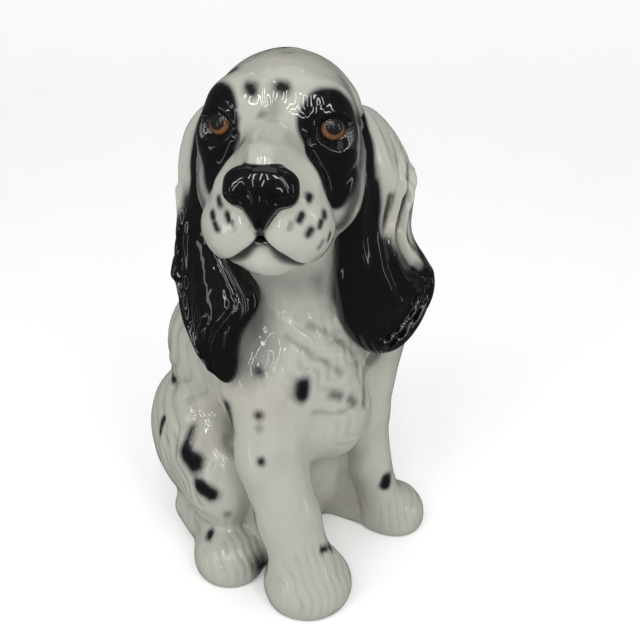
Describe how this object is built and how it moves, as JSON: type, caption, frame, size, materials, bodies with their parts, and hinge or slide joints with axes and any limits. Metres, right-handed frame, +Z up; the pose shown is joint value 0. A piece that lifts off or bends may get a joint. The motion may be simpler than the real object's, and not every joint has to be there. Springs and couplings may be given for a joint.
{
  "type": "ceramic dog figurine",
  "caption": "Seated long-eared spaniel in glazed earthenware, head turned to its right, with black ears, spotted white coat and inset glass eyes.",
  "frame": {"origin": "middle of the footprint's bounding box, on the floor", "axes": "+Z up, the dog's chest towards -Y, the dog's left side at +X"},
  "size_m": [0.1666, 0.2276, 0.3312],
  "materials": {
    "white_glaze": "thick clear gloss glaze over off-white earthenware, with airbrushed black spots",
    "black_glaze": "glossy black underglaze under clear glaze",
    "eye_glass": "polished clear glass dome",
    "iris_enamel": "amber enamel with a black pupil, painted on the disc behind the glass"
  },
  "bodies": {
    "root": {"torso": "white_glaze", "head": "white_glaze", "left_ear": "black_glaze", "right_ear": "black_glaze", "left_foreleg": "white_glaze", "right_foreleg": "white_glaze", "left_hind_leg": "white_glaze", "right_hind_leg": "white_glaze", "tail": "white_glaze", "left_eye_glass": "eye_glass", "right_eye_glass": "eye_glass", "left_eye_iris": "iris_enamel", "right_eye_iris": "iris_enamel"}
  },
  "joints": []
}
